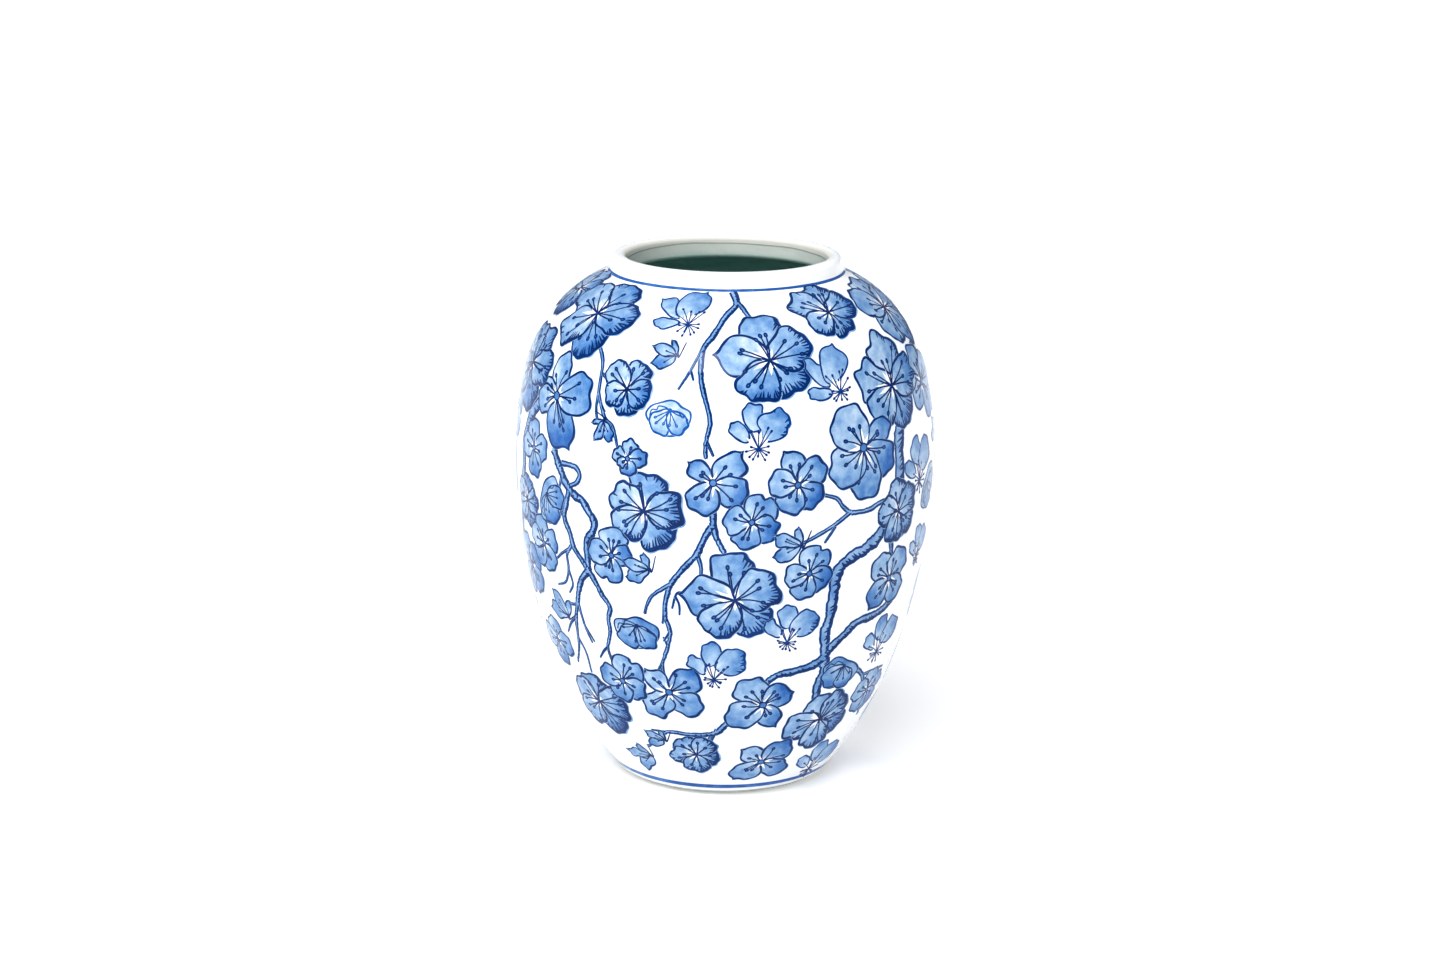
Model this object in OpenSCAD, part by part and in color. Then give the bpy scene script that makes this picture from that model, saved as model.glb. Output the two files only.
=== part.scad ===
// Ovoid porcelain vase with a short collar, built from thrown sections luted together with slip.
// Every face is a stack of tangent arcs, and each layer is the same outline at another depth,
// so porcelain, slip, glaze and painted lines share exact surfaces.

/* [Body] */
// Height of the glazed vase, foot to lip
vase_h = 250; // [246:1:254]
// Largest radius of the glazed body
belly_r = 99.5; // [98:0.5:101]
// Height of the largest radius above the table
belly_z = 154; // [152:1:156]
// Radius of the arc just above the belly
upper_belly_arc = 194; // [188:1:200]
// Angle that the upper belly arc turns through
upper_belly_turn = 12.5; // [12:0.5:13]
// Radius of the shoulder arc
shoulder_arc = 64; // [63:0.5:65]
// Radius of the arc just below the belly
lower_belly_arc = 285; // [280:1:290]
// Angle that the lower belly arc turns through
lower_belly_turn = 21; // [20:0.5:22]
// Radius of the arc that runs down to the foot
foot_arc = 197; // [195:1:199]
// Thickness of the porcelain, without its glazes
wall_t = 4.3; // [3.5:0.1:5]

/* [Collar] */
// Radius of the mouth, glaze to glaze
mouth_r = 47.2; // [46.6:0.1:47.6]
// Thickness of the collar just under its lip, with its glazes
collar_t = 6.4; // [6.2:0.1:6.8]
// How far the collar's base stands out past its top
collar_flare = 1.1; // [0.8:0.1:1.4]
// Radius that rounds both edges of the lip, with its glaze
lip_round = 2.6; // [2.2:0.1:2.8]
// Radius inside, where the bore of the collar turns out under the shoulder
throat_round = 2; // [1.5:0.1:2]

/* [Base and foot] */
// Height of the glazed recess under the floor
recess_h = 5.5; // [5:0.1:6]
// Thickness of the floor, without its glazes
floor_t = 6; // [5:0.1:7]
// Radius inside, where the floor turns up into the wall
floor_round = 14; // [10:1:18]
// Inner radius of the foot ring
foot_inner_r = 42; // [41:0.5:42.5]
// Radius of the foot ring's inner lower edge
foot_inner_round = 2; // [1:0.1:2.2]
// Radius of the foot ring's outer lower edge
toe_round = 6; // [5.5:0.1:6.5]

/* [Joints] */
// Height of the seam between the two thrown sections
seam_z = 128; // [115:1:140]
// Height of the tongue that centres one section on the other
tongue_h = 4; // [3:0.5:6]
// Thickness of the fired slip in each seam
slip_t = 0.6; // [0.4:0.1:0.7]
// Height of the key on the foot ring, measured into the base
key_h = 1.2; // [1:0.1:1.5]
// Width of the groove that the key sits in
key_w = 3; // [2.5:0.1:3.5]

/* [Glaze and painted lines] */
// Thickness of each glaze
glaze_t = 0.4; // [0.3:0.05:0.5]
// How far the clear outside glaze runs down inside the lip
glaze_lap = 3.8; // [3:0.1:4.5]
// Height above the table at which the outside glaze stops
glaze_stop_z = 2.6; // [2.5:0.1:3]
// Depth to which the cobalt lines stain the glaze
line_depth = 0.2; // [0.15:0.01:0.25]
// Width of the line round the collar's base, half of it on each side of the crease
neck_line_w = 1.4; // [1:0.1:2]
// Height of the lower edge of the line above the foot
foot_line_z = 4.4; // [4:0.1:5]
// Height of that line, from its lower edge to its upper edge
foot_line_h = 2.3; // [1.5:0.1:3]

/* [Hidden] */
$fn = 240;

porcelain = "WhiteSmoke";
biscuit = "Linen";
fired_slip = "Gainsboro";
clear_glaze = "AliceBlue";
cobalt = "RoyalBlue";

far = 400;                               // longer than any radius here
inner_face = glaze_t + wall_t;           // depth of the porcelain's inner face
wall_mid = glaze_t + wall_t / 2;         // depth at which the tongue is split from its rebate

function polar(c, r, a) = c + r * [cos(a), sin(a)];
function angle_to(from, to) = atan2(to.y - from.y, to.x - from.x);

// Tangent arcs share the normal at each joint, so each centre lies on its neighbour's ray.
c_upper = [belly_r - upper_belly_arc, belly_z];
c_shoulder = polar(c_upper, upper_belly_arc - shoulder_arc, upper_belly_turn);
c_lower = [belly_r - lower_belly_arc, belly_z];
c_foot = polar(c_lower, lower_belly_arc - foot_arc, -lower_belly_turn);
foot_end = -60;                          // angle past the base, where the foot arc is cut
shoulder_end = 88;                       // angle past the mouth, where the shoulder arc is cut

// Radius of the foot arc at height z and at a depth under the glazed outline
function foot_r(z, depth) = c_foot.x + sqrt(pow(foot_arc - depth, 2) - pow(z - c_foot.y, 2));
// Height of the shoulder arc at radius r and at a depth under the glazed outline
function shoulder_z(r, depth) = c_shoulder.y + sqrt(pow(shoulder_arc - depth, 2) - pow(r - c_shoulder.x, 2));

bore_r = mouth_r + glaze_t;              // bore of the collar's porcelain
collar_r = mouth_r + collar_t;           // outside of the glazed collar, just under the lip
collar_base_r = collar_r + collar_flare;
crease_z = shoulder_z(collar_base_r, 0); // where the glazed collar meets the glazed shoulder
seat_z = crease_z - 1;                   // seam under the collar, on a flat seat on the shoulder
lap_z = vase_h - glaze_lap;              // edge of the outside glaze, inside the lip

floor_z = recess_h + glaze_t;            // underside of the porcelain floor
floor_top = floor_z + floor_t;
foot_top = floor_z - slip_t;
key_r = foot_inner_r + 2.5;

// Centres of the three rounds that are tangent to the wall's arcs
toe = [foot_r(toe_round, glaze_t + toe_round), toe_round];
heel = [foot_r(floor_top + floor_round, inner_face + floor_round), floor_top + floor_round];
throat = [bore_r + throat_round, shoulder_z(bore_r + throat_round, inner_face - throat_round)];

// A rectangle given by two opposite corners
module block(low, high) {
    translate(low) square(high - low);
}

// Everything between two heights
module slice(low, high) {
    block([0, low], [far, high]);
}

// Everything between two rays from c
module wedge(c, from, to) {
    polygon([c, polar(c, far, from), polar(c, far, (from + to) / 2), polar(c, far, to)]);
}

// The part of a disc between two rays from its centre
module sector(c, r, from, to) {
    intersection() {
        translate(c) circle(r);
        wedge(c, from, to);
    }
}

// The four arcs of the body, as a filled shape whose edge lies at a depth under the glaze's skin.
// A smaller disc lies inside its larger neighbour, so it laps past their shared ray.
module body_outline(depth, low_angle) {
    lap = 4;
    sector(c_foot, foot_arc - depth, low_angle, lap - lower_belly_turn);
    sector(c_lower, lower_belly_arc - depth, -lower_belly_turn, 0);
    sector(c_upper, upper_belly_arc - depth, -lap, upper_belly_turn);
    sector(c_shoulder, shoulder_arc - depth, upper_belly_turn - lap, shoulder_end);
}

// The collar and its round lip, down into the shoulder
module collar_outline(depth) {
    round_r = lip_round - depth;
    in_r = mouth_r + depth;
    out_r = collar_r - depth;
    edge_z = vase_h - lip_round;
    root_z = seat_z - 8;
    polygon([
        [in_r, root_z], [out_r + collar_flare, root_z], [out_r + collar_flare, crease_z - depth],
        [out_r, edge_z], [in_r, edge_z]
    ]);
    block([in_r + round_r, edge_z - 1], [out_r - round_r, vase_h - depth]);
    translate([in_r + round_r, edge_z]) circle(round_r);
    translate([out_r - round_r, edge_z]) circle(round_r);
}

// The whole outside at a depth under the glaze's skin
module outline(depth) {
    body_outline(depth, foot_end);
    collar_outline(depth);
}

// The hollow inside below the collar, shrunk by inset from the porcelain
module hollow(inset) {
    body_outline(inner_face + inset, angle_to(c_foot, heel));
    translate(heel) circle(floor_round - inset);
    polygon([[0, floor_top + inset], [heel.x, floor_top + inset], heel, [0, 3 * heel.y]]);
}

// The bore of the collar, and the space left of the round where it turns out under the shoulder
module bore(inset) {
    column_r = bore_r - inset;
    difference() {
        polygon([
            [0, vase_h + 1], [column_r, vase_h + 1], [column_r, throat.y], throat,
            polar(throat, 2 * throat_round, angle_to(throat, c_shoulder)),
            [0, throat.y - 2 * throat_round]
        ]);
        translate(throat) circle(throat_round + inset);
    }
}

// The whole space inside
module cavity(inset) {
    hollow(inset);
    bore(inset);
}

// Porcelain between two heights, up to the glaze's underside
module clay(low, high) {
    difference() {
        intersection() {
            outline(glaze_t);
            slice(low, high);
        }
        cavity(0);
    }
}

// Lower thrown section, with a tongue on top and a groove for the foot ring's key
module lower_section() {
    seam_face = seam_z - slip_t / 2;
    difference() {
        union() {
            clay(floor_z, seam_face);
            intersection() {
                clay(seam_face - 1, seam_face + tongue_h);
                body_outline(wall_mid + slip_t / 2, foot_end);
            }
        }
        block([key_r, 0], [key_r + key_w, floor_z + key_h]);
    }
}

// Upper thrown section, rebated inside to drop over the tongue
module upper_section() {
    seam_face = seam_z + slip_t / 2;
    difference() {
        clay(seam_face, seat_z - slip_t / 2);
        intersection() {
            body_outline(wall_mid - slip_t / 2, foot_end);
            slice(0, seam_face + tongue_h);
        }
    }
}

// Ring that the vase stands on, round at both lower edges, with its key on top
module foot_section() {
    inner_edge = foot_inner_r + foot_inner_round;
    intersection() {
        outline(glaze_t);
        block([foot_inner_r, 0], [far, foot_top]);
        union() {
            block([inner_edge, 0], [toe.x, foot_top]);
            block([foot_inner_r, foot_inner_round], [toe.x, foot_top]);
            translate([inner_edge, foot_inner_round]) circle(foot_inner_round);
            translate(toe) circle(toe_round);
            wedge(toe, angle_to(c_foot, toe), 90);
        }
    }
    block([key_r + slip_t, foot_top - 1], [key_r + key_w - slip_t, floor_z + key_h - slip_t]);
}

// Skin of the outside between the glaze's face and a depth below it
module skin(depth) {
    difference() {
        outline(0);
        outline(depth);
    }
}

module neck_line_section() {
    intersection() {
        skin(line_depth);
        translate([collar_base_r, crease_z]) circle(neck_line_w / 2);
    }
}

module foot_line_section() {
    intersection() {
        skin(line_depth);
        slice(foot_line_z, foot_line_z + foot_line_h);
    }
}

module lower_body() {
    color(porcelain) rotate_extrude() lower_section();
}

module upper_body() {
    color(porcelain) rotate_extrude() upper_section();
}

module neck_collar() {
    color(porcelain) rotate_extrude() clay(seat_z + slip_t / 2, vase_h);
}

module foot_ring() {
    color(biscuit) rotate_extrude() foot_section();
}

// Slip that fills the stepped gap between the two thrown sections
module belly_luting() {
    color(fired_slip) rotate_extrude() difference() {
        clay(seam_z - slip_t / 2, seam_z + slip_t / 2 + tongue_h);
        lower_section();
        upper_section();
    }
}

// Flat ring of slip under the collar
module neck_luting() {
    color(fired_slip) rotate_extrude() clay(seat_z - slip_t / 2, seat_z + slip_t / 2);
}

// Slip on top of the foot ring and round its key
module foot_luting() {
    color(fired_slip) rotate_extrude() difference() {
        intersection() {
            outline(glaze_t);
            union() {
                block([foot_inner_r, foot_top], [far, floor_z]);
                block([key_r, foot_top], [key_r + key_w, floor_z + key_h]);
            }
        }
        foot_section();
    }
}

// Clear glaze over the outside and the lip, less the stain of the painted lines
module outer_glaze() {
    color(clear_glaze, 0.4) rotate_extrude() difference() {
        intersection() {
            skin(glaze_t);
            union() {
                block([mouth_r, lap_z], [far, vase_h]);
                block([bore_r, glaze_stop_z], [far, vase_h]);
            }
        }
        neck_line_section();
        foot_line_section();
    }
}

// Lining between the porcelain and the space inside, over one part of that space
module lining() {
    intersection() {
        difference() {
            children();
            cavity(glaze_t);
        }
        slice(0, lap_z);
    }
}

// Grey-green glaze over the whole inside, up to where the outside glaze laps the lip
module inner_glaze() {
    color("DarkSeaGreen") {
        rotate_extrude() lining() hollow(0);
        rotate_extrude() lining() bore(0);
    }
}

// Glaze on the underside, inside the foot ring
module base_glaze() {
    color(clear_glaze, 0.4) translate([0, 0, recess_h]) cylinder(r = foot_inner_r, h = glaze_t);
}

module neck_line() {
    color(cobalt) rotate_extrude() neck_line_section();
}

module foot_line() {
    color(cobalt) rotate_extrude() foot_line_section();
}

lower_body();
upper_body();
neck_collar();
foot_ring();
belly_luting();
neck_luting();
foot_luting();
outer_glaze();
inner_glaze();
base_glaze();
neck_line();
foot_line();
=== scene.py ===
"""Looks of the porcelain vase: the glazes and the two banded lines as fine turned meshes, and the cobalt
painting as thin solids that follow the glaze. Lengths are in millimetres until a mesh is made, and angles in
degrees, where nothing else is said."""
import math

import bpy
import numpy as np
from mathutils import Matrix, Vector
from mathutils.geometry import delaunay_2d_cdt


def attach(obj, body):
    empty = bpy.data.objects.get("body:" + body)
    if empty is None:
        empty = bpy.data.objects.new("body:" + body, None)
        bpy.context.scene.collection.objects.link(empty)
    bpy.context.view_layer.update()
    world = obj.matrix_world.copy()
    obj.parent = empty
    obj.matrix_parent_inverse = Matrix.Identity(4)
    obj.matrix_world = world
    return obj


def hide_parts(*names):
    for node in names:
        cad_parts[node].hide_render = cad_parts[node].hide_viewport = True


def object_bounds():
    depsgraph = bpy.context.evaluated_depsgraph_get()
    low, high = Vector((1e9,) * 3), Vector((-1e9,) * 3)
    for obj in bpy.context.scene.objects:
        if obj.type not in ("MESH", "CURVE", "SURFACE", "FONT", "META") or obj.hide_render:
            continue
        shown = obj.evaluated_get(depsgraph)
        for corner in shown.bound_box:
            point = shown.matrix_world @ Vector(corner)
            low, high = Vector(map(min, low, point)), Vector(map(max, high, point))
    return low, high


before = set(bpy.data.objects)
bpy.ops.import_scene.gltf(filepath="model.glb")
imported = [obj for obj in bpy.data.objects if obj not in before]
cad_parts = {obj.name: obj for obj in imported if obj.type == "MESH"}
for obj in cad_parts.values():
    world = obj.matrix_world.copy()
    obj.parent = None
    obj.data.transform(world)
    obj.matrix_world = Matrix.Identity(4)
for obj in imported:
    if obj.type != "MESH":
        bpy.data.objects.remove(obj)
cad_low, cad_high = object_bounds()

MM = 0.001
VASE_H = (cad_high.z - cad_low.z) / MM
BELLY_R = cad_high.x / MM

# ------------ the turned outline

BELLY_Z = 154.0
UPPER_ARC, UPPER_TURN = 194.0, 12.5
SHOULDER_ARC = 64.0
LOWER_ARC, LOWER_TURN = 285.0, 21.0
FOOT_ARC = 197.0
MOUTH_R, COLLAR_T, COLLAR_FLARE, LIP_ROUND = 47.2, 6.4, 1.1, 2.6
GLAZE_T, GLAZE_STOP_Z, GLAZE_LAP = 0.4, 2.6, 3.8
WALL_INSIDE = 5.1          # depth of the glazed inside under the glazed outside
FLOOR_TOP = 12.3           # glazed floor inside
FLOOR_ROUND = 13.6
THROAT_ROUND = 2.4
NECK_LINE_W = 1.4
FOOT_LINE = (4.4, 6.7)     # lower and upper edge of the line above the foot
SEGMENTS = 288
TIGHT_STEP = 0.3           # distance between rings where the outline turns tightly


def polar(centre, radius, angle):
    a = math.radians(angle)
    return centre[0] + radius * math.cos(a), centre[1] + radius * math.sin(a)


def angle_to(a, b):
    return math.degrees(math.atan2(b[1] - a[1], b[0] - a[0]))


def arc(centre, radius, start, end, step=1.0):
    n = max(3, int(abs(math.radians(end - start)) * radius / step) + 2)
    return [polar(centre, radius, a) for a in np.linspace(start, end, n)]


C_UPPER = (BELLY_R - UPPER_ARC, BELLY_Z)
C_SHOULDER = polar(C_UPPER, UPPER_ARC - SHOULDER_ARC, UPPER_TURN)
C_LOWER = (BELLY_R - LOWER_ARC, BELLY_Z)
C_FOOT = polar(C_LOWER, LOWER_ARC - FOOT_ARC, -LOWER_TURN)
COLLAR_R = MOUTH_R + COLLAR_T
CREASE_R = COLLAR_R + COLLAR_FLARE
CREASE_Z = C_SHOULDER[1] + math.sqrt(SHOULDER_ARC ** 2 - (CREASE_R - C_SHOULDER[0]) ** 2)
LIP_Z = VASE_H - LIP_ROUND
LAP_Z = VASE_H - GLAZE_LAP


def body_arcs(depth, first_angle, last_angle):
    """The wall's four arcs at a depth under the glazed outline, foot to shoulder."""
    pts = arc(C_FOOT, FOOT_ARC - depth, first_angle, -LOWER_TURN)
    pts += arc(C_LOWER, LOWER_ARC - depth, -LOWER_TURN, 0)[1:]
    pts += arc(C_UPPER, UPPER_ARC - depth, 0, UPPER_TURN)[1:]
    pts += arc(C_SHOULDER, SHOULDER_ARC - depth, UPPER_TURN, last_angle)[1:]
    return pts


def soften(pts, near, reach, passes=30):
    """Rounds a corner of a polyline where glaze pools, leaving everything further away alone."""
    p = np.array(pts)
    for _ in range(passes):
        close = np.hypot(*(p - near).T) < reach
        close[[0, -1]] = False
        smooth = (np.roll(p, 1, axis=0) + np.roll(p, -1, axis=0)) / 2
        p[close] = smooth[close]
    return [tuple(q) for q in p]


def outside_profile(depth=0.0):
    """Radius and height up the outside, from the glaze's lower edge over the lip to the lap inside."""
    low = math.degrees(math.asin((GLAZE_STOP_Z - C_FOOT[1]) / FOOT_ARC))
    crease = (CREASE_R - depth, CREASE_Z - depth)
    pts = body_arcs(depth, low, angle_to(C_SHOULDER, crease))
    out_r, in_r, lip = COLLAR_R - depth, MOUTH_R + depth, LIP_ROUND - depth
    collar = np.linspace(crease, (out_r, LIP_Z), 26)
    near_crease = [polar(C_SHOULDER, SHOULDER_ARC - depth, a)
                   for a in np.linspace(angle_to(C_SHOULDER, pts[-3]), angle_to(C_SHOULDER, crease), 12)]
    pts = pts[:-3] + near_crease + [tuple(p) for p in collar[1:]]
    pts = soften(pts, np.array(crease), 1.3)
    pts += arc((out_r - lip, LIP_Z), lip, 0, 90, TIGHT_STEP)[1:]
    pts += arc((in_r + lip, LIP_Z), lip, 90, 180, TIGHT_STEP)
    pts += [(in_r, z) for z in np.linspace(LIP_Z, LAP_Z, 5)[1:]]
    return pts


PROFILE = np.array(outside_profile())
STEP = np.diff(PROFILE, axis=0)
ALONG = np.concatenate([[0], np.cumsum(np.hypot(*STEP.T))])
SLOPE = np.gradient(PROFILE, ALONG, axis=0)
NORMAL = np.column_stack([SLOPE[:, 1], -SLOPE[:, 0]])
NORMAL /= np.linalg.norm(NORMAL, axis=1)[:, None]
CREASE_AT = ALONG[np.argmin(np.hypot(PROFILE[:, 0] - CREASE_R, PROFILE[:, 1] - CREASE_Z))]
ON_BODY = ALONG <= CREASE_AT


def along(height):
    """Distance up the outline, from its lower end, at a height on the body."""
    return float(np.interp(height, PROFILE[ON_BODY, 1], ALONG[ON_BODY]))


def on_vase(azimuth, distance, lift):
    """Points, in metres, and normals on the glaze. The azimuths are in radians: 0 faces -Y, and +X is to its
    right."""
    r, z, nr, nz = (np.interp(distance, ALONG, c) for c in (*PROFILE.T, *NORMAL.T))
    sin, cos = np.sin(azimuth), np.cos(azimuth)
    radius = r + lift * nr
    points = np.column_stack([radius * sin, -radius * cos, z + lift * nz]) * MM
    return points, np.column_stack([nr * sin, -nr * cos, nz])


# ------------ meshes

def add_object(name, data):
    made = bpy.data.objects.new(name, data)
    bpy.context.scene.collection.objects.link(made)
    return made


def finish_mesh(name, verts, faces, material):
    mesh = bpy.data.meshes.new(name)
    mesh.from_pydata([tuple(v) for v in verts], [], [tuple(f) for f in faces])
    mesh.materials.append(material)
    piece = add_object(name, mesh)
    mesh.shade_smooth()
    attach(piece, "root")
    return piece


def float_attribute(mesh, name, values, domain):
    layer = mesh.attributes.new(name, "FLOAT", domain)
    layer.data.foreach_set("value", np.asarray(values, dtype=np.float32))


def tube(rings):
    """Faces from each ring of vertex numbers to the next, and from the last to the first. A ring of one is a
    point on the axis."""
    faces = []
    for low, high in zip(rings, rings[1:] + rings[:1]):
        count = max(len(low), len(high))
        for j in range(count if count > 1 else 0):
            k = (j + 1) % count
            lower = [low[j], low[k]] if len(low) > 1 else low
            upper = [high[k], high[j]] if len(high) > 1 else high
            faces.append(lower + upper)
    return faces


def revolve(name, loop, material, wobble):
    """A solid of revolution round Z from a closed loop of (radius, height). Points on the axis become one."""
    azimuths = np.linspace(0, 2 * math.pi, SEGMENTS, endpoint=False)
    verts, rings = [], []
    for r, z in np.array(loop):
        first = len(verts)
        if r < 1e-6:
            verts.append((0, 0, z * MM))
        else:
            height = (z + wobble(azimuths, z, r)) * MM
            verts += list(zip(r * MM * np.sin(azimuths), -r * MM * np.cos(azimuths), height))
        rings.append(list(range(first, len(verts))))
    piece = finish_mesh(name, verts, tube(rings), material)
    piece.data.set_sharp_from_angle(angle=math.radians(40))
    return piece


# ------------ materials

def linear(r, g, b):
    """An sRGB colour from 0 to 255 as Blender's linear colour."""
    def one(c):
        c /= 255
        return c / 12.92 if c <= 0.04045 else ((c + 0.055) / 1.055) ** 2.4
    return one(r), one(g), one(b), 1.0


def tints(*stops):
    """A ramp's stops from (position, r, g, b) rows."""
    return [(position, linear(*rgb)) for position, *rgb in stops]


def fill(node, **sockets):
    """Sets a node's inputs by name, with an underscore for a space."""
    for socket, value in sockets.items():
        node.inputs[socket.replace("_", " ")].default_value = value


class Shader:
    """A Principled material, with short ways to add nodes to it."""

    def __init__(self, name, **sockets):
        self.material = bpy.data.materials.new(name)
        self.material.use_nodes = True
        self.tree = self.material.node_tree
        self.surface = self.tree.nodes["Principled BSDF"]
        fill(self.surface, **sockets)
        self.place = self.node("ShaderNodeTexCoord").outputs["Object"]

    def node(self, kind, **values):
        made = self.tree.nodes.new(kind)
        for key, value in values.items():
            setattr(made, key, value)
        return made

    def link(self, out, into):
        self.tree.links.new(out, into)

    def noise(self, size_mm, detail=3.0, roughness=0.55, stretch=None):
        """Noise from 0 to 1 whose features are about size_mm across."""
        made = self.node("ShaderNodeTexNoise")
        fill(made, Scale=1 / (size_mm * MM), Detail=detail, Roughness=roughness)
        vector = self.place
        if stretch:
            mapping = self.node("ShaderNodeMapping")
            fill(mapping, Scale=stretch)
            self.link(vector, mapping.inputs["Vector"])
            vector = mapping.outputs["Vector"]
        self.link(vector, made.inputs["Vector"])
        return made.outputs["Fac"]

    def math(self, operation, a, b):
        made = self.node("ShaderNodeMath", operation=operation)
        for socket, value in zip(made.inputs, (a, b)):
            if isinstance(value, (int, float)):
                socket.default_value = value
            else:
                self.link(value, socket)
        return made.outputs[0]

    def weigh(self, first, a, second, b):
        """The first value times a, plus the second times b."""
        return self.math("ADD", self.math("MULTIPLY", first, a), self.math("MULTIPLY", second, b))

    def spread(self, value, low, high):
        """Stretches a 0 to 1 value's middle to the range low to high."""
        made = self.node("ShaderNodeMapRange")
        fill(made, From_Min=0.3, From_Max=0.7, To_Min=low, To_Max=high)
        self.link(value, made.inputs["Value"])
        return made.outputs["Result"]

    def ramp(self, value, stops):
        made = self.node("ShaderNodeValToRGB")
        ramp = made.color_ramp
        while len(ramp.elements) < len(stops):
            ramp.elements.new(0.5)
        for element, (position, colour) in zip(ramp.elements, stops):
            element.position = position
            element.color = colour
        self.link(value, made.inputs["Fac"])
        return made.outputs["Color"]

    def mix(self, share, first, second):
        made = self.node("ShaderNodeMix", data_type="RGBA")
        for socket, value in zip((made.inputs[0], made.inputs[6], made.inputs[7]), (share, first, second)):
            self.link(value, socket)
        return made.outputs[2]

    def attribute(self, name):
        return self.node("ShaderNodeAttribute", attribute_name=name).outputs["Fac"]

    def colour(self, value):
        self.link(value, self.surface.inputs["Base Color"])

    def bump(self, height, depth_mm):
        made = self.node("ShaderNodeBump")
        fill(made, Distance=depth_mm * MM, Strength=1.0)
        self.link(height, made.inputs["Height"])
        self.link(made.outputs["Normal"], self.surface.inputs["Normal"])

    def roughness(self, value):
        self.link(value, self.surface.inputs["Roughness"])


def glaze_surface(shader):
    """The gloss that the white glaze and the painting under it share: faint orange peel and haze."""
    peel = shader.math("ADD", shader.math("MULTIPLY", shader.noise(26, 1.0), 6.0), shader.noise(2.2, 2.0))
    shader.bump(peel, 0.006)
    shader.roughness(shader.spread(shader.noise(9, 3.0), 0.05, 0.09))


def white_glaze():
    s = Shader("white_glaze", IOR=1.5, Specular_IOR_Level=0.18)
    tint = s.weigh(s.noise(40, 2.0), 0.6, s.noise(6, 3.0), 0.4)
    white = s.ramp(tint, tints((0.30, 238, 242, 247), (0.52, 243, 245, 248), (0.75, 247, 247, 246)))
    # painted shade: a darker cream tone on the lip's inner face
    lip_shade = s.ramp(tint, tints((0.30, 234, 233, 226), (0.70, 241, 240, 234)))
    s.colour(s.mix(s.attribute("lip_shade"), white, lip_shade))
    glaze_surface(s)
    return s.material


def cobalt_paint():
    """Cobalt under the glaze. The tone attribute runs from a pale wash, 0, to a full dark line, 1."""
    s = Shader("cobalt_paint", IOR=1.5, Specular_IOR_Level=0.18)
    tone = s.attribute("tone")
    clouds = s.spread(s.noise(5.0, 2.0, 0.5), -0.10, 0.10)
    grain = s.spread(s.noise(0.9, 3.0, 0.6), -0.03, 0.03)
    room = s.math("SUBTRACT", 1.0, s.math("MULTIPLY", tone, s.math("MULTIPLY", tone, 0.55)))
    value = s.math("ADD", tone, s.math("MULTIPLY", s.math("ADD", clouds, grain), room))
    s.colour(s.ramp(value, tints(
        (0.00, 236, 240, 246), (0.15, 183, 203, 224), (0.30, 139, 172, 207), (0.45, 90, 136, 189),
        (0.60, 42, 101, 170), (0.75, 8, 74, 146), (0.90, 0, 54, 118), (1.00, 0, 37, 87))))
    glaze_surface(s)
    return s.material


def grey_green_glaze():
    """The inside: pale on the collar, and a deeper green lower down, which is painted shade of the deep
    inside.
    """
    s = Shader("grey_green_glaze", IOR=1.5)
    shade = s.weigh(s.noise(14, 3.0, 0.5, (1, 1, 3)), 0.7, s.noise(1.5, 2.0), 0.3)
    collar_tint = s.ramp(shade, tints((0.30, 216, 224, 218), (0.55, 226, 232, 226), (0.80, 233, 238, 232)))
    # painted shade: a darker, greener tone for the deep inside
    deep_shade = s.ramp(shade, tints((0.35, 160, 204, 197), (0.65, 176, 214, 207)))
    dark_edge = s.ramp(shade, tints((0.30, 138, 154, 146), (0.70, 158, 172, 164)))
    s.colour(s.mix(s.attribute("edge"), s.mix(s.attribute("depth"), collar_tint, deep_shade), dark_edge))
    s.bump(s.noise(6, 2.0, 0.5, (0.15, 0.15, 1)), 0.03)
    s.roughness(s.spread(s.noise(8, 3.0), 0.10, 0.18))
    return s.material


def bare_ceramic(name, stops, grain_mm, roughness):
    """Unglazed fired clay: fine grain, and faint blotches of colour."""
    s = Shader(name)
    s.colour(s.ramp(s.weigh(s.noise(7, 3.0), 0.65, s.noise(grain_mm, 4.0), 0.35), tints(*stops)))
    s.bump(s.noise(grain_mm, 4.0), 0.05)
    s.roughness(s.spread(s.noise(3, 3.0), roughness - 0.08, roughness + 0.08))
    return s.material


def floor_material():
    """Pale grey, with a glow that grows away from the vase, as on a white studio sweep."""
    s = Shader("pale_floor")
    s.colour(s.ramp(s.noise(300, 2.0), [(0.3, (0.90, 0.90, 0.90, 1)), (0.7, (0.94, 0.94, 0.94, 1))]))
    s.roughness(s.spread(s.noise(120, 2.0), 0.55, 0.7))
    distance = s.node("ShaderNodeVectorMath", operation="LENGTH")
    s.link(s.place, distance.inputs[0])
    fill(s.surface, Emission_Color=(1, 1, 1, 1))
    glow = s.node("ShaderNodeMapRange")
    fill(glow, From_Min=0.1, From_Max=1.1, To_Min=0.32, To_Max=0.98)
    s.link(distance.outputs["Value"], glow.inputs["Value"])
    s.link(glow.outputs["Result"], s.surface.inputs["Emission Strength"])
    return s.material


WHITE_GLAZE = white_glaze()
COBALT = cobalt_paint()
GREY_GREEN = grey_green_glaze()
# the foot ring's bare biscuit, its own colour darkened to grey-green as painted shade of the foot's edge
SHADED_BISCUIT = bare_ceramic("biscuit", [(0.3, 158, 164, 159), (0.5, 176, 181, 175), (0.75, 192, 196, 190)],
                       0.5, 0.62)
PORCELAIN = bare_ceramic("porcelain_paste", [(0.3, 228, 226, 220), (0.7, 240, 239, 235)], 0.4, 0.5)
SLIP = bare_ceramic("fired_slip", [(0.3, 220, 218, 211), (0.7, 236, 235, 230)], 0.8, 0.6)

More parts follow.
